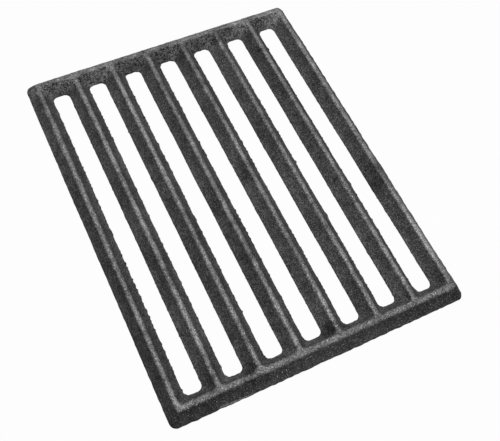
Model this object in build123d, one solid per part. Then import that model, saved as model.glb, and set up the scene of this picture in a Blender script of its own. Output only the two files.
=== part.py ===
from build123d import *
from math import atan2, tan
import os

# Cast iron grate: one flat rectangular casting with parallel slots between tapered bars.
# Each bar stands on a wide flat foot and narrows upward to a rounded crest, so every slot
# is the bottom of a trough with four sloping walls. Lengths are in millimetres.
# The origin is the centre of the flat underside, +Z points up to the crests,
# +Y runs along the slots and +X runs across them.

# Overall size, measured at the underside
grate_width = 200.0
grate_length = 260.0
grate_height = 10.0
outer_corner_radius = 4.6

# Slots, measured at the underside, where they are narrowest
slot_count = 7
slot_width = 12.0
slot_corner_radius = 3.7

# Feet of the side rails and of the end bars: from the outer edge to the nearest slot
rail_foot = 14.2
end_foot = 15.0

# Crests: widths before rounding, and how far their middle lines stand in from the outer edge
bar_crest = 2.7
end_crest = 3.4
rail_crest_inset = 7.3
end_crest_inset = 8.0
crest_corner_radius = 1.8
trough_corner_radius = 2.2
crest_rounding = 2.0

# Share of a crest's width that its two roundings may take up at most
rounded_share = 0.95

# Upright edge left all round the underside, below the slopes
foot_land = 0.7

# Layout worked out from the sizes above
slot_length = grate_length - 2 * end_foot
slot_pitch = (grate_width - 2 * rail_foot - slot_width) / (slot_count - 1)
first_slot = -slot_pitch * (slot_count - 1) / 2
slot_centres = [first_slot + slot_pitch * i for i in range(slot_count)]
rail_crest_line = grate_width / 2 - rail_crest_inset
bar_crest_lines = [x + slot_pitch / 2 for x in slot_centres[:-1]]
crest_lines = [-rail_crest_line, *bar_crest_lines, rail_crest_line]
end_crest_line = grate_length / 2 - end_crest_inset
slope_height = grate_height - foot_land
slope_runs = [
    (slot_pitch - slot_width - bar_crest) / 2,
    rail_foot - rail_crest_inset - bar_crest / 2,
    rail_crest_inset - bar_crest / 2,
    end_foot - end_crest_inset - end_crest / 2,
    end_crest_inset - end_crest / 2,
]


def rounded_plate(centre_x, width, length, radius, height):
    """A level rounded rectangle, centred on the Y axis's line through centre_x, at a height."""
    return Pos(centre_x, 0, height) * RectangleRounded(width, length, radius)


def tapered_block(foot, mouth):
    """An upright edge of the foot's outline, then straight slopes up to the mouth's outline."""
    shoulder = Pos(0, 0, foot_land) * foot
    return extrude(foot, foot_land) + loft([shoulder, mouth], ruled=True)


def outer_block():
    """The casting without its troughs: sloping outer faces from the foot to the crest."""
    foot = rounded_plate(0, grate_width, grate_length, outer_corner_radius, 0)
    crest_width = 2 * rail_crest_line + bar_crest
    crest_length = 2 * end_crest_line + end_crest
    crest = rounded_plate(0, crest_width, crest_length, crest_corner_radius, grate_height)
    return tapered_block(foot, crest)


def trough(index):
    """One slot with the sloping walls above it, up to the crests round its mouth."""
    left = crest_lines[index] + bar_crest / 2
    right = crest_lines[index + 1] - bar_crest / 2
    mouth_length = 2 * end_crest_line - end_crest
    foot = rounded_plate(slot_centres[index], slot_width, slot_length, slot_corner_radius, 0)
    mouth = rounded_plate(
        (left + right) / 2, right - left, mouth_length, trough_corner_radius, grate_height
    )
    return tapered_block(foot, mouth)


def rounding_radius():
    """The crests' rounding, kept within the narrowest crest where the slopes are steepest."""
    steepest = atan2(slope_height, min(slope_runs))
    widest = min(bar_crest, end_crest) / (2 * tan(steepest / 2))
    return min(crest_rounding, rounded_share * widest)


def grate():
    """The whole casting, with its crests rounded."""
    body = outer_block()
    for index in range(slot_count):
        body -= trough(index)
    crest_edges = body.edges().group_by(Axis.Z)[-1]
    return fillet(crest_edges, rounding_radius())


os.makedirs("parts", exist_ok=True)
export_step(grate(), "parts/grate.step")
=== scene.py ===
import math

import bmesh
import bpy
import numpy as np
from mathutils import Matrix, Vector, geometry, kdtree, noise


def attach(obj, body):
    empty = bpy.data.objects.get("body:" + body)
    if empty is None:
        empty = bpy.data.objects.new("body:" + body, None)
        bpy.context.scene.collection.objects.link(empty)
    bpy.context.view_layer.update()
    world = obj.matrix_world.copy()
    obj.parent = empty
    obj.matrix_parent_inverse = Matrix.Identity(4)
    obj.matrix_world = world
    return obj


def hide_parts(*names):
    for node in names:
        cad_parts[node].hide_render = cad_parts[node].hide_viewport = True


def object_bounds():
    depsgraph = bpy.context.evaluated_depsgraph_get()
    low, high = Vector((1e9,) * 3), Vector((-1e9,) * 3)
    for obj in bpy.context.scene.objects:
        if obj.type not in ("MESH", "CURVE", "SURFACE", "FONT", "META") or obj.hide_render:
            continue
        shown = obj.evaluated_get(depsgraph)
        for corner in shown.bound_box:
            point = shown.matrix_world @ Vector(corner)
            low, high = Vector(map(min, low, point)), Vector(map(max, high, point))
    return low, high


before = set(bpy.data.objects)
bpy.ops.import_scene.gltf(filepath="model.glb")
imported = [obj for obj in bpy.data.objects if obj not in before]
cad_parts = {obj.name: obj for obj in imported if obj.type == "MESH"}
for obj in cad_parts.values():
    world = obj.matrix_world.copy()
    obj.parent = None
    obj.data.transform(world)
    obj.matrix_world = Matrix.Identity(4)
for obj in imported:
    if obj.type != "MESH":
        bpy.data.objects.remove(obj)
cad_low, cad_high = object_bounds()

# Cast iron grate as it leaves the sand: one casting of tapered bars with slots between them.
# Lengths are in metres, +Z is up to the crests, +Y runs along the slots and +X across them.
mm = 0.001
foot = cad_low.z
crest = cad_high.z
grate_width = cad_high.x - cad_low.x
half_length = cad_high.y
bar_pitch = 26.6 * mm

# Level cuts through the solid that the cast skin is drawn over
upright_edge = 0.7 * mm
crest_bend = 0.95 * mm
clear_of_cap = 0.002 * mm
upright_rows = 2
slope_rows = 11
bend_rows = 5

# Smoothing of the bend at the crests: how deep below them it starts, and how strong it is
smoothed_depth = 2 * crest_bend
bend_smoothing = 0.5

# Points round each outline, from corner to corner
slot_side_points = 255
slot_end_points = 20
frame_side_points = 270
frame_end_points = 210

# Points across the level faces: their spacing, and the share of it that stays clear along the rims
crest_spacing = 0.75 * mm
underside_spacing = 2.6 * mm
clear_of_rim = 0.6

# Distances within which points count as one
weld_distance = 0.001 * mm
fill_distance = 0.0001 * mm

# Marks of the sand mould: how wide, how far off the form, and a shift that sets each pattern apart
swells = (45 * mm, 0.10 * mm, 0.31)
lumps = (6.0 * mm, 0.10 * mm, 0.57)
grains = (1.9 * mm, 0.12 * mm, 0.83)
pits = (2.2 * mm, 0.16 * mm, 1.7)
wander = (30 * mm, 0.25 * mm, 3.7)
notches = (3.6 * mm, 0.5 * mm, 2.3)
flash = (1.7 * mm, 1.1 * mm, 2.9)
nubs = (5.0 * mm, 1.6 * mm, 4.3)

# Flash and nubs show from a share of their reach up, and fade out above the upright edge
flash_from = 0.1
nubs_from = 0.35
flash_fade = 1.6 * mm

# Edges: how far one turns outward, or to a side, to count as such, and the share of marks on calm edges
least_outward = 0.2
least_turn = 0.5
calm_share = 0.5

# How far each bar lies off the mould's true line, and how far from its ends it gets there
bar_shifts = (0.0, 0.06 * mm, -0.05 * mm, -0.25 * mm, 0.22 * mm, 0.2 * mm, -0.08 * mm, 0.0)
shift_fade = (16 * mm, 32 * mm)

# Right rail, which leans out from the mould's true line between its foot and its crest
lean_range = (86 * mm, 93 * mm)
lean_reach = 0.42 * mm

# Inner feet: the rails' spread a little, the end bars' at some slots, or draw back where below 0
rail_inside = 80 * mm
rail_spread = 0.3 * mm
front_spreads = (0.0, -0.2 * mm, 0.0, 0.45 * mm, 0.0, 0.6 * mm, 0.0)
back_spreads = (0.1 * mm, 0.0, -0.25 * mm, 0.0, 0.0, 0.35 * mm, 0.25 * mm)

# Faces and stretches, measured in from the outer edge, and how soft their borders are
outer_side = 6.0 * mm
outer_end = 6.6 * mm
end_bar = 10.5 * mm
rough_end = 16 * mm
face_border = 0.4 * mm
rough_border = 2 * mm

# Crests, worn and carrying a painted highlight: depth, ragged border, painted lean of the highlight to the
# right, and loss of depth to the left
rubbed_highlight_depth = 1.6 * mm
rubbed_highlight_ragged = 0.7 * mm
highlight_lean = 0.25 * mm
rubbed_highlight_fall = 0.14 * mm

# Pits of the rough end: over what distance they set in, and how far below the crests they stop
pit_border = 3 * mm
unpitted_crest = 0.4 * mm

# Grain of the finish, from broad clouds down to single grains of sand, and its middle level
cloud_width = 26 * mm
blotch_width = 7 * mm
coarse_width = 1.7 * mm
fine_width = 0.65 * mm
spark_width = 0.9 * mm
grain_middle = 0.5

# Share of fine grain in each mix with coarse grain
grit_fineness = 0.75
rough_fineness = 0.62
relief_fineness = 0.7

# Levels of the grain between which grit, rough grains and bare specks come to show
grit_levels = (0.38, 0.65)
rough_levels = (0.42, 0.59)
spark_levels = (0.66, 0.71)

# Tones as shares of white, in the hollows and on the tips of the grain; the crests' tones are paler partly
# for wear and partly as a painted highlight
skin_tones = (0.041, 0.193)
rough_tones = (0.022, 0.222)
rubbed_highlight_tones = (0.0935, 0.2905)

# Changes of tone up a slope, from the foot to the crest, and over the mottling; on the gritty skin the
# change up the slope is painted bounce light, paler at the foot
skin_painted_bounce = (1.18, 0.82)
rough_slope = (0.9, 1.15)
skin_mottle = 1.1
rubbed_highlight_mottle = 1.3

# Left face: painted shade, how much darker it is, and between which places along it the shade fades
# towards the back
left_painted_shade = 0.32
left_shade_fades = (-25 * mm, 85 * mm)

# Right face: a painted grazing reflection, how much paler it is, where along it darkens, and how its
# paleness starts at the corner
right_painted_reflection = 1.45
right_reflection_fades = (cad_low.y, 60 * mm)
corner_fade = 5 * mm
corner_ragged = 10 * mm

# Front face: painted shading, its change of tone from its middle to its ends, and how much weaker its
# grain is
front_painted_shading = (0.17, -0.09)
front_reach = 70 * mm
front_calm = 0.35

# Slopes that face the back: painted light, how much paler they are, and how far one turns that way
back_facing_painted_light = 0.16
back_turn = (0.3, 0.8)

# Tone of the worn crests: how their painted highlight falls off along the grate towards the back, and how
# much darker the end bars' crests are
highlight_fall_along = 0.1
front_crest_darker = 0.21
back_crest_darker = 0.09

# Bare specks, painted as glints: how bright they are anywhere, on the worn crests and on the front face
glint_anywhere = 0.1
glint_on_highlight = 0.23
glint_front = 0.18

# Gloss, from the skin to the rubbed crests, and relief of the grain
roughnesses = (0.9, 0.55)
rubbed_metal = 0.4
iron_specular = 0.08
relief_depth = 0.55 * mm

# Pale line low on the front face, which runs down to the foot's edge from left to right
ledge_tone = 0.26
ledge_bottom = (1.3 * mm, 1.6 * mm)
ledge_top = (2.2 * mm, 2.6 * mm)
ledge_left = -70 * mm
ledge_right = (-50 * mm, -40 * mm)
ledge_fall = 0.06
ledge_breaks = (0.25, 0.5)

# How far the border of a place wanders, and the share of its reach over which it is felt in full
place_ragged = 0.6
place_core = 0.2

# Darker places: across, along, reach, and the share of light that they take, below 0 where paler
dark_places = (
    (-2 * mm, 120 * mm, 12 * mm, 0.25),
    (13 * mm, 112 * mm, 10 * mm, 0.3),
    (24 * mm, 119 * mm, 9 * mm, 0.2),
    (41 * mm, 114 * mm, 10 * mm, 0.3),
    (48 * mm, 120 * mm, 7 * mm, 0.2),
    (70 * mm, 118 * mm, 8 * mm, 0.3),
    (-82 * mm, 121 * mm, 6 * mm, 0.3),
    (-46 * mm, -116.5 * mm, 7 * mm, 0.6),
    (-71 * mm, -114 * mm, 8 * mm, 0.25),
    (9 * mm, -116 * mm, 8 * mm, 0.6),
    (90 * mm, -36 * mm, 20 * mm, 0.3),
    (90 * mm, -10 * mm, 12 * mm, 0.2),
    (91 * mm, 54 * mm, 9 * mm, 0.25),
    (87 * mm, 119 * mm, 10 * mm, -0.35),
    (60 * mm, 120 * mm, 9 * mm, -0.25),
    (-74 * mm, 119 * mm, 8 * mm, -0.2),
    (-49 * mm, 120 * mm, 11 * mm, -0.2),
    (-25 * mm, 119 * mm, 9 * mm, -0.15),
    (36 * mm, -88 * mm, 9 * mm, -0.25),
    (-97 * mm, 105 * mm, 26 * mm, -0.15),
    (-97 * mm, -92 * mm, 13 * mm, -0.2),
    (8 * mm, -129 * mm, 10 * mm, -0.3),
)

# Small blow holes, painted as dark spots of shade since the skin has no holes there, in the same terms
blow_hole_shade = (
    (71.6 * mm, -8.6 * mm, 2.6 * mm, 0.95),
    (63 * mm, -24 * mm, 1.5 * mm, 0.55),
    (20.6 * mm, -115.8 * mm, 4.5 * mm, 0.6),
    (-64 * mm, 118 * mm, 2.2 * mm, 0.7),
    (16 * mm, 96 * mm, 1.6 * mm, 0.6),
)

# Stretches of the crests whose wear and painted highlight are brighter, or duller where below 0, in the
# same terms
rubbed_highlight_places = (
    (-54 * mm, 25 * mm, 64 * mm, 0.1),
    (-42 * mm, 45 * mm, 28 * mm, 0.34),
    (-42 * mm, 88 * mm, 28 * mm, 0.46),
    (-67 * mm, 62 * mm, 28 * mm, 0.28),
    (-67 * mm, 96 * mm, 24 * mm, 0.14),
    (-11 * mm, 75 * mm, 30 * mm, -0.15),
    (43 * mm, 95 * mm, 26 * mm, -0.25),
    (13 * mm, -58 * mm, 32 * mm, -0.38),
    (13 * mm, -18 * mm, 24 * mm, -0.16),
    (53 * mm, -35 * mm, 40 * mm, -0.36),
    (68 * mm, 82 * mm, 30 * mm, 0.27),
    (94 * mm, 66 * mm, 28 * mm, 0.42),
    (94 * mm, -68 * mm, 24 * mm, 0.28),
    (95 * mm, -106 * mm, 24 * mm, 0.3),
    (94 * mm, 10 * mm, 22 * mm, -0.1),
    (-79 * mm, -124 * mm, 18 * mm, 0.6),
    (-93 * mm, -100 * mm, 20 * mm, -0.16),
    (20 * mm, -124 * mm, 26 * mm, -0.2),
    (48 * mm, -123 * mm, 16 * mm, -0.15),
)

# Places where bare iron glints through, painted as bright specks: across, along, reach, and how bright the
# specks are
glint_places = (
    (-26 * mm, -130 * mm, 6 * mm, 0.6),
    (-48 * mm, -130 * mm, 6 * mm, 0.4),
    (78 * mm, -122 * mm, 7 * mm, 0.5),
    (93 * mm, -119 * mm, 5 * mm, 0.7),
    (87 * mm, -98 * mm, 6 * mm, 0.35),
    (30 * mm, 123 * mm, 6 * mm, 0.5),
    (58 * mm, 123 * mm, 8 * mm, 0.6),
    (88 * mm, 122 * mm, 7 * mm, 0.5),
    (-66 * mm, -82 * mm, 6 * mm, 0.4),
    (-40 * mm, -121 * mm, 5 * mm, 0.3),
)

# Angle between two faces from which their shared edge is shaded sharp
sharp_angle = math.radians(55)

# Camera of the photograph
camera_place = Vector((-0.1336, -0.2253, 0.4522))
camera_aim = Vector((-0.0005, -0.0257, 0.0))
camera_roll = math.radians(9.0)
camera_lens = 56.45

# Studio: a large soft light overhead, a weak even surround, a pale floor
soft_light_place = Vector((-0.03, 0.02, 1.0))
soft_light_size = 0.5
soft_light_power = 8.5
surround_level = 0.05
floor_colour = (0.5, 0.5, 0.5, 1)
floor_half_width = 3.0
floor_gap = 0.05 * mm
floor_whiteness = 0.97


# Skin of the casting

def welded_solid(node):
    """The node's faces as one closed surface, with the points that meet joined."""
    solid = bmesh.new()
    solid.from_mesh(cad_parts[node].data)
    bmesh.ops.remove_doubles(solid, verts=solid.verts[:], dist=weld_distance)
    return solid


def from_left(outline):
    """Order of outlines: the wide outer one first, then the slots from left to right."""
    across = outline[:, 0]
    is_slot = np.ptp(across) < 2 * bar_pitch
    return is_slot, across.mean()


def level_cut(solid, height):
    """Closed outlines of the solid at a height, in order."""
    cut = solid.copy()
    everything = cut.verts[:] + cut.edges[:] + cut.faces[:]
    made = bmesh.ops.bisect_plane(cut, geom=everything, plane_co=(0, 0, height), plane_no=(0, 0, 1))
    neighbours = {}
    for part in made["geom_cut"]:
        if isinstance(part, bmesh.types.BMEdge):
            first, second = part.verts
            neighbours.setdefault(first, []).append(second)
            neighbours.setdefault(second, []).append(first)
    outlines = []
    seen = set()
    for start in neighbours:
        outline = []
        vert = None if start in seen else start
        while vert is not None:
            seen.add(vert)
            outline.append(vert.co.xy[:])
            vert = next((other for other in neighbours[vert] if other not in seen), None)
        if outline:
            outlines.append(np.array(outline))
    cut.free()
    return sorted(outlines, key=from_left)


def spaced_outline(outline, side_points, end_points):
    """An outline's points, evenly spaced between its corners, anticlockwise from the front right."""
    ahead = np.roll(outline, -1, axis=0)
    if np.sum(outline[:, 0] * ahead[:, 1] - ahead[:, 0] * outline[:, 1]) < 0:
        outline = outline[::-1]
    corner_ways = np.array([(1, -1), (1, 1), (-1, 1), (-1, -1)])
    first = np.argmax(outline @ corner_ways[0])
    outline = np.roll(outline, -first, axis=0)
    closed = np.vstack([outline, outline[:1]])
    steps = np.linalg.norm(np.diff(closed, axis=0), axis=1)
    travel = np.concatenate([[0], np.cumsum(steps)])
    corners = [travel[np.argmax(outline @ way)] for way in corner_ways] + [travel[-1]]
    counts = (side_points, end_points, side_points, end_points)
    stops = np.concatenate([
        np.linspace(corners[i], corners[i + 1], count, endpoint=False) for i, count in enumerate(counts)
    ])
    return np.column_stack([np.interp(stops, travel, closed[:, axis]) for axis in (0, 1)])


def cut_heights():
    """Heights of the level cuts, from the foot to the crest."""
    bend_start = crest - crest_bend
    upright = np.linspace(foot, foot + upright_edge, upright_rows, endpoint=False)
    slope = np.linspace(foot + upright_edge, bend_start, slope_rows, endpoint=False)
    turn = np.linspace(0, math.pi / 2, bend_rows)
    bend = bend_start + crest_bend * np.sin(turn)
    return np.concatenate([upright, slope, bend])


def wall_faces(first, rows, count):
    """Four-sided faces of a closed wall of rows, whose points are numbered from first."""
    faces = []
    for row in range(rows - 1):
        low = first + row * count
        high = low + count
        for here in range(count):
            there = (here + 1) % count
            faces.append((low + here, low + there, high + there, high + here))
    return faces


def inner_points(outlines, spacing):
    """Evenly spaced points on a level face, clear of its rims and of the slots."""
    near = kdtree.KDTree(sum(len(outline) for outline in outlines))
    for i, (x, y) in enumerate(np.vstack(outlines)):
        near.insert((x, y, 0), i)
    near.balance()
    slot_boxes = [(outline.min(0), outline.max(0)) for outline in outlines[1:]]
    points = []
    for x in np.arange(cad_low.x + spacing, cad_high.x, spacing):
        for y in np.arange(cad_low.y + spacing, cad_high.y, spacing):
            in_slot = any(np.all(low < (x, y)) and np.all((x, y) < high) for low, high in slot_boxes)
            if not in_slot and near.find((x, y, 0))[2] > clear_of_rim * spacing:
                points.append((x, y))
    return points


def level_fill(points, rims, spacing, height):
    """New points and triangles of the level face inside the first rim and outside the slots' rims."""
    outlines = [np.array([points[number][:2] for number in rim]) for rim in rims]
    fresh = inner_points(outlines, spacing)
    numbers = [number for rim in rims for number in rim]
    numbers += range(len(points), len(points) + len(fresh))
    no_rim = -1
    rim_of = [i for i, rim in enumerate(rims) for _ in rim] + [no_rim] * len(fresh)
    edges = []
    for outline in outlines:
        start = len(edges)
        count = len(outline)
        edges += [(start + i, start + (i + 1) % count) for i in range(count)]
    flat = [Vector(point) for point in (*np.vstack(outlines), *fresh)]
    inside_edges = 1
    filled = geometry.delaunay_2d_cdt(flat, edges, [], inside_edges, fill_distance)
    triangles, came_from = filled[2:4]
    faces = []
    for triangle in triangles:
        corners = [came_from[corner][0] for corner in triangle]
        rims_met = {rim_of[corner] for corner in corners}
        over_slot = len(rims_met) == 1 and min(rims_met) > 0
        if not over_slot:
            faces.append([numbers[corner] for corner in corners])
    return [(x, y, height) for x, y in fresh], faces


def skin_mesh(points, faces):
    """The mesh of a closed skin, with the bend at its crests smoothed."""
    skin = bmesh.new()
    for point in points:
        skin.verts.new(point)
    skin.verts.ensure_lookup_table()
    for face in faces:
        skin.faces.new([skin.verts[number] for number in face])
    bmesh.ops.recalc_face_normals(skin, faces=skin.faces[:])
    bend = [vert for vert in skin.verts if vert.co.z > crest - smoothed_depth]
    bmesh.ops.smooth_vert(
        skin, verts=bend, factor=bend_smoothing, use_axis_x=True, use_axis_y=True, use_axis_z=True
    )
    mesh = bpy.data.meshes.new("cast_skin")
    skin.to_mesh(mesh)
    skin.free()
    return mesh


def cast_skin():
    """A closed, evenly divided mesh over the solid, drawn through its level cuts."""
    solid = welded_solid("grate")
    heights = cut_heights()
    cut_at = np.clip(heights, foot + clear_of_cap, crest - clear_of_cap)
    cuts = [level_cut(solid, height) for height in cut_at]
    solid.free()
    points = []
    faces = []
    lower_rims = []
    upper_rims = []
    for wall in range(len(cuts[0])):
        side_points = slot_side_points if wall else frame_side_points
        end_points = slot_end_points if wall else frame_end_points
        count = 2 * (side_points + end_points)
        first = len(points)
        for height, outlines in zip(heights, cuts):
            outline = spaced_outline(outlines[wall], side_points, end_points)
            points += [(x, y, height) for x, y in outline]
        faces += wall_faces(first, len(heights), count)
        lower_rims.append(range(first, first + count))
        upper_rims.append(range(len(points) - count, len(points)))
    level_faces = ((upper_rims, crest_spacing, crest), (lower_rims, underside_spacing, foot))
    for rims, spacing, height in level_faces:
        fresh, triangles = level_fill(points, rims, spacing, height)
        points += fresh
        faces += triangles
    return skin_mesh(points, faces)


# Marks of the sand mould

def ramp(value, low, high):
    """0 up to low, 1 from high, and an even climb between them."""
    return min(1.0, max(0.0, (value - low) / (high - low)))


def marks(place, kind):
    """How far one kind of mark stands off at a place."""
    width, reach, shift = kind
    return reach * noise.noise((place + Vector((shift, shift, shift))) / width)


def tips(place, kind, share):
    """How far one kind of mark rises above a share of its reach."""
    reach = kind[1]
    return max(0.0, marks(place, kind) - share * reach)


def number_across(place, count):
    """Number of the bar or slot at a place, from the left, where there are count of them."""
    return round(place.x / bar_pitch + (count - 1) / 2)


def stand_off(place):
    """How far the skin stands off the true form: swells, lumps and grain, and pits at the back end."""
    rough_start = half_length - rough_end
    at_back = ramp(place.y, rough_start, rough_start + pit_border)
    on_slope = 1 - ramp(place.z, crest - rubbed_highlight_depth, crest - unpitted_crest)
    even = marks(place, swells) + marks(place, lumps) + marks(place, grains)
    return even + marks(place, pits) * at_back * on_slope


def off_line(place):
    """How far a place lies to the right of the mould's true line."""
    bar_shift = bar_shifts[number_across(place, len(bar_shifts))]
    from_end = half_length - abs(place.y)
    return bar_shift * ramp(from_end, *shift_fade) + lean_reach * ramp(place.x, *lean_range)


def edge_reach(place, outward):
    """How far the foot's edge reaches past its true line: notches outside, spread and flash in slots."""
    to_right = outward.x > least_turn
    to_front = outward.y < -least_turn
    outer = abs(place.x) > cad_high.x - outer_side or abs(place.y) > half_length - outer_end
    if outer:
        share = 1.0 if to_right or to_front else calm_share
        return marks(place, wander) + share * marks(place, notches)
    spread = rail_spread * abs(outward.x) if abs(place.x) > rail_inside else 0.0
    slot = number_across(place, len(front_spreads))
    spread += front_spreads[slot] * max(0.0, outward.y) + back_spreads[slot] * max(0.0, -outward.y)
    share = 1.0 if to_right else calm_share
    fins = tips(place, flash, flash_from) + tips(place, nubs, nubs_from)
    return marks(place, wander) + spread + share * fins


def sand_marks(mesh):
    """Moves the skin's points off the true form as the sand mould does."""
    moved = []
    for vert in mesh.vertices:
        place = vert.co
        above_foot = ramp(place.z, foot, foot + upright_edge)
        new = place + vert.normal * stand_off(place) * above_foot
        new.x += off_line(place)
        at_edge = 1 - ramp(place.z, foot + upright_edge, foot + flash_fade)
        outward = Vector((vert.normal.x, vert.normal.y, 0))
        if at_edge > 0 and outward.length > least_outward:
            outward.normalize()
            new += outward * edge_reach(place, outward) * at_edge
        new.z = max(new.z, foot)
        moved += new[:]
    mesh.vertices.foreach_set("co", moved)
    mesh.update()


# Shader maths

class Wire:
    """One output of a node. Sums and products of wires add their Math nodes."""

    def __init__(self, finish, socket):
        self.finish = finish
        self.socket = socket

    def maths(self, operation, first, second):
        """A Math node on two wires or numbers."""
        return self.finish.add("Math", {"operation": operation}, {0: first, 1: second})

    def __add__(self, other):
        return self.maths("ADD", self, other)

    __radd__ = __add__

    def __sub__(self, other):
        return self.maths("SUBTRACT", self, other)

    def __rsub__(self, other):
        return self.maths("SUBTRACT", other, self)

    def __mul__(self, other):
        return self.maths("MULTIPLY", self, other)

    __rmul__ = __mul__

    def __abs__(self):
        return self.maths("ABSOLUTE", self, 0)

    def beside(self, output):
        """Another output of the same node."""
        return Wire(self.finish, self.socket.node.outputs[output])


class Finish:
    """A node tree that a surface's look is written in."""

    def __init__(self, tree):
        self.tree = tree
        self.tree.nodes.clear()

    def add(self, kind, settings=None, sockets=None, output=0):
        """Adds a node of a kind: its settings first, then the values or links of its sockets."""
        node = self.tree.nodes.new("ShaderNode" + kind)
        for name, value in (settings or {}).items():
            setattr(node, name, value)
        by_name = {socket.identifier: socket for socket in node.inputs}
        for name, value in (sockets or {}).items():
            socket = node.inputs[name] if isinstance(name, int) else by_name[name]
            if isinstance(value, Wire):
                self.tree.links.new(value.socket, socket)
            else:
                socket.default_value = value
        outputs = {socket.identifier: socket for socket in node.outputs}
        if not outputs:
            return None
        return Wire(self, node.outputs[output] if isinstance(output, int) else outputs[output])

    def grain(self, place, width):
        """Cloudy grain of a width in metres, from 0 to 1."""
        sockets = {"Vector": place, "Scale": 1 / width, "Detail": 1.0, "Roughness": 0.5}
        return self.add("TexNoise", {}, sockets)

    def climb(self, value, low, high):
        """0 up to low, 1 from high, and a soft climb between them."""
        sockets = {"Value": value, "From Min": low, "From Max": high}
        return self.add("MapRange", {"interpolation_type": "SMOOTHSTEP"}, sockets)

    def beyond(self, value, line):
        """0 before a line and 1 beyond it, with a soft change."""
        return self.climb(value, line - face_border, line + face_border)

    def blend(self, share, first, second):
        """A colour between two colours."""
        sockets = {"Factor_Float": share, "A_Color": first, "B_Color": second}
        return self.add("Mix", {"data_type": "RGBA"}, sockets, "Result_Color")


def between(share, ends):
    """A value between two ends."""
    start, stop = ends
    return start + (stop - start) * share


def grey(level):
    """A grey, from 0 for black to 1 for white."""
    return (level, level, level, 1)


# Finish of the casting

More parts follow.
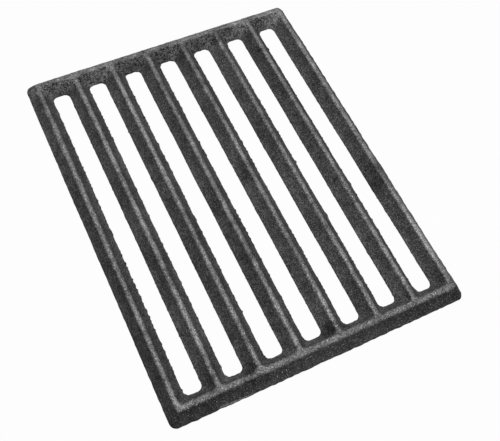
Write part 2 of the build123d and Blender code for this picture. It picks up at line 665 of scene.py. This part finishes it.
class CastIron(Finish):
    """Iron as cast: where a point lies on the casting, its sand grain, and each kind of surface."""

    def __init__(self, tree):
        super().__init__(tree)
        place = self.add("TexCoord", output="Object")
        self.plan = self.add("VectorMath", {"operation": "MULTIPLY"}, {0: place, 1: (1, 1, 0)})
        self.across = self.add("SeparateXYZ", {}, {"Vector": place}, "X")
        self.along = self.across.beside("Y")
        self.height = self.across.beside("Z")
        normal = self.add("NewGeometry", output="Normal")
        self.turned_right = self.add("SeparateXYZ", {}, {"Vector": normal}, "X")
        self.turned_back = self.turned_right.beside("Y")
        blotch = self.grain(place, blotch_width)
        self.coarse = self.grain(place, coarse_width)
        self.fine = self.grain(place, fine_width)
        self.spark = self.climb(self.grain(place, spark_width), *spark_levels)
        self.mottle = blotch + self.grain(place, cloud_width) - 2 * grain_middle
        self.ragged = place_ragged * (blotch + self.coarse - 2 * grain_middle)
        self.grit = self.climb(self.sand(grit_fineness), *grit_levels)
        self.up_slope = self.climb(self.height, foot, crest)
        self.front = 1 - self.beyond(self.along, cad_low.y + outer_end)

    def sand(self, fineness):
        """Sand grain with a share of fine grain in it."""
        return fineness * self.fine + (1 - fineness) * self.coarse

    def felt(self, places):
        """Sum of the listed places' strengths: each is full at its middle and 0 beyond its reach."""
        total = 0
        for across, along, reach, strength in places:
            centre = (across, along, 0)
            off = self.add("VectorMath", {"operation": "DISTANCE"}, {0: self.plan, 1: centre}, "Value")
            border = off + reach * self.ragged
            total = total + strength * (1 - self.climb(border, place_core * reach, reach))
        return total

    def rubbed_highlight(self):
        """How worn the iron is and how much painted highlight it carries, from 0 on the slopes to 1 on the
        crests, leaning towards faces turned to the right.
        """
        rubbed_highlight_to = self.height + (self.coarse - grain_middle) * rubbed_highlight_ragged
        # Painted highlight: the band leans towards faces turned to the right
        rubbed_highlight_to = rubbed_highlight_to + self.turned_right * highlight_lean
        rubbed_highlight_to = rubbed_highlight_to + (self.across - cad_high.x) * (rubbed_highlight_fall / grate_width)
        climbed = self.climb(rubbed_highlight_to, crest - rubbed_highlight_depth, crest)
        return climbed * climbed

    def painted_face_light(self):
        """How much paler or darker the outer faces are than the slopes inside: painted shade on the left
        face, a painted reflection on the right face and painted shading on the front face.
        """
        # Painted shade on the left face, fading towards the back
        left = 1 - self.beyond(self.across, cad_low.x + outer_side)
        left = left * (1 - self.climb(self.along, *left_shade_fades))
        # Painted grazing reflection on the right face, strongest at the front
        right = self.beyond(self.across, cad_high.x - outer_side)
        right = right * (1 - self.climb(self.along, *right_reflection_fades))
        corner = cad_low.y + outer_end
        from_front = self.along + self.ragged * corner_ragged
        right = right * self.climb(from_front, corner, corner + corner_fade)
        # Painted shading on the front face: paler in its middle, darker at its ends
        front_tone = between(self.climb(abs(self.across), 0, front_reach), front_painted_shading)
        return 1 - left_painted_shade * left + right_painted_reflection * right + self.front * front_tone

    def gritty_skin(self):
        """Tone of the slopes: dark, gritty, mottled, paler towards the feet with painted bounce light,
        with painted shade, reflection and shading on the outer faces, and painted light on slopes that
        face the back.
        """
        tips_shown = self.grit * self.grit * (1 - front_calm * self.front)
        # Painted bounce light: paler towards the feet, darker under the crests
        skin = between(tips_shown, skin_tones) * between(self.up_slope, skin_painted_bounce)
        skin = skin * (1 + skin_mottle * self.mottle) * self.painted_face_light()
        # Painted light on slopes that face the back, stronger higher up
        return skin * (1 + back_facing_painted_light * self.up_slope * self.climb(self.turned_back, *back_turn))

    def rough_skin(self):
        """Tone of the rough skin at the back end: black hollows between pale grains."""
        tips_shown = self.climb(self.sand(rough_fineness), *rough_levels)
        skin = between(tips_shown, rough_tones) * between(self.up_slope, rough_slope)
        return skin * (1 + skin_mottle * self.mottle)

    def rough_share(self):
        """1 on the inside of the back end, where the skin is rough."""
        rough_start = half_length - rough_end
        at_back = self.climb(self.along, rough_start - rough_border, rough_start + rough_border)
        return at_back * (1 - self.beyond(self.along, cad_high.y - outer_end))

    def pale_front_line(self):
        """What the pale line low on the front face adds to the tone."""
        level = self.height + ledge_fall * (self.across - ledge_left)
        ledge = self.climb(level, *ledge_bottom) * (1 - self.climb(level, *ledge_top))
        stretch = self.beyond(self.across, ledge_left) * (1 - self.climb(self.across, *ledge_right))
        return ledge_tone * ledge * stretch * self.front * self.climb(self.coarse, *ledge_breaks)

    def rubbed_highlight_tone(self):
        """Tone of the worn crests, with their painted highlight."""
        front_crest = 1 - self.beyond(self.along, cad_low.y + end_bar)
        back_crest = self.beyond(self.along, cad_high.y - end_bar)
        rubbed_highlight_strength = 1 - front_crest_darker * front_crest - back_crest_darker * back_crest
        # Painted highlight that falls off towards the back of the grate
        rubbed_highlight_strength = rubbed_highlight_strength * (1 - self.along * (highlight_fall_along / half_length))
        rubbed_highlight_strength = rubbed_highlight_strength * (1 + self.felt(rubbed_highlight_places))
        return between(self.grit, rubbed_highlight_tones) * (1 + rubbed_highlight_mottle * self.mottle) * rubbed_highlight_strength

    def glint(self, rubbed_highlight):
        """Bare specks, painted as glints."""
        brightness = glint_anywhere + glint_on_highlight * rubbed_highlight + glint_front * self.front
        return self.spark * (brightness + self.felt(glint_places))


def cast_iron():
    """Gritty iron as cast, rough at the back end, with worn crests that carry a painted highlight, darker
    places, blow holes painted as dark spots of shade, bare specks painted as glints, and painted light and
    shade on the slopes and faces.
    """
    material = bpy.data.materials.new("cast_iron")
    material.use_nodes = True
    iron = CastIron(material.node_tree)
    rubbed_highlight = iron.rubbed_highlight()
    skin = iron.gritty_skin()
    skin = skin + iron.rough_share() * (iron.rough_skin() - skin)
    skin = skin + iron.pale_front_line()
    # Darker places, and blow holes painted as dark spots of shade
    darkening = iron.felt(dark_places + blow_hole_shade)
    # Worn crests, partly a painted highlight
    tone = skin + rubbed_highlight * (iron.rubbed_highlight_tone() - skin)
    # Bare specks painted as glints on top of the tone
    tone = tone * (1 - darkening) + iron.glint(rubbed_highlight)
    relief = iron.sand(relief_fineness)
    bump = iron.add("Bump", {}, {"Strength": 1.0, "Distance": relief_depth, "Height": relief})
    shader = iron.add("BsdfPrincipled", {}, {
        "Base Color": iron.blend(tone, grey(0.0), grey(1.0)),
        "Metallic": rubbed_metal * rubbed_highlight,
        "Roughness": between(rubbed_highlight, roughnesses),
        "Specular IOR Level": iron_specular,
        "Normal": bump,
    })
    iron.add("OutputMaterial", {}, {"Surface": shader})
    return material


def grate_piece():
    """The casting with its sand marks and finish, in the place of the solid."""
    mesh = cast_skin()
    sand_marks(mesh)
    mesh.shade_smooth()
    mesh.set_sharp_from_angle(angle=sharp_angle)
    mesh.materials.append(cast_iron())
    grate = bpy.data.objects.new("cast_grate", mesh)
    bpy.context.scene.collection.objects.link(grate)
    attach(grate, "root")
    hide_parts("grate")


# Stage

def seen_directly(finish):
    """1 for what the camera sees itself, in a reflection or through glass, and 0 for other light."""
    rays = finish.add("LightPath", output="Is Camera Ray")
    sight = rays
    for name in ("Is Glossy Ray", "Is Transmission Ray"):
        sight = sight.maths("MAXIMUM", sight, rays.beside(name))
    return sight


def pale_floor():
    """A wide level floor that looks white and keeps a soft shadow."""
    mesh = bpy.data.meshes.new("floor")
    reach = floor_half_width
    corners = [(-reach, -reach), (reach, -reach), (reach, reach), (-reach, reach)]
    mesh.from_pydata([(x, y, foot - floor_gap) for x, y in corners], [], [(0, 1, 2, 3)])
    floor = bpy.data.objects.new("floor", mesh)
    bpy.context.scene.collection.objects.link(floor)
    material = bpy.data.materials.new("pale_floor")
    material.use_nodes = True
    paint = Finish(material.node_tree)
    matt = paint.add("BsdfDiffuse", {}, {"Color": floor_colour})
    white = paint.add("Emission", {}, {"Color": grey(1.0), "Strength": 1.0})
    share = seen_directly(paint) * floor_whiteness
    mixed = paint.add("MixShader", {}, {0: share, 1: matt, 2: white})
    paint.add("OutputMaterial", {}, {"Surface": mixed})
    mesh.materials.append(material)


def surround():
    """An even surround: weak as light, white where it is seen."""
    world = bpy.data.worlds.new("surround")
    world.use_nodes = True
    bpy.context.scene.world = world
    air = Finish(world.node_tree)
    level = surround_level + (1 - surround_level) * seen_directly(air)
    glow = air.add("Background", {}, {"Color": grey(1.0), "Strength": level})
    air.add("OutputWorld", {}, {"Surface": glow})


def soft_light():
    """A square soft light overhead, turned to the middle of the grate."""
    lamp = bpy.data.lights.new("soft_light", "AREA")
    lamp.size = soft_light_size
    lamp.energy = soft_light_power
    light = bpy.data.objects.new("soft_light", lamp)
    light.location = soft_light_place
    light.rotation_mode = "QUATERNION"
    light.rotation_quaternion = (-soft_light_place).to_track_quat("-Z", "Y")
    bpy.context.scene.collection.objects.link(light)


def photograph_camera():
    """The camera where the photograph was taken from."""
    lens = bpy.data.cameras.new("camera")
    lens.lens = camera_lens
    camera = bpy.data.objects.new("camera", lens)
    turn = (camera_aim - camera_place).to_track_quat("-Z", "Y").to_matrix().to_4x4()
    roll = Matrix.Rotation(camera_roll, 4, "Z")
    camera.matrix_world = Matrix.Translation(camera_place) @ turn @ roll
    bpy.context.scene.collection.objects.link(camera)
    bpy.context.scene.camera = camera


grate_piece()
pale_floor()
surround()
soft_light()
photograph_camera()
bpy.context.scene.view_settings.view_transform = "Standard"

bpy.context.view_layer.update()
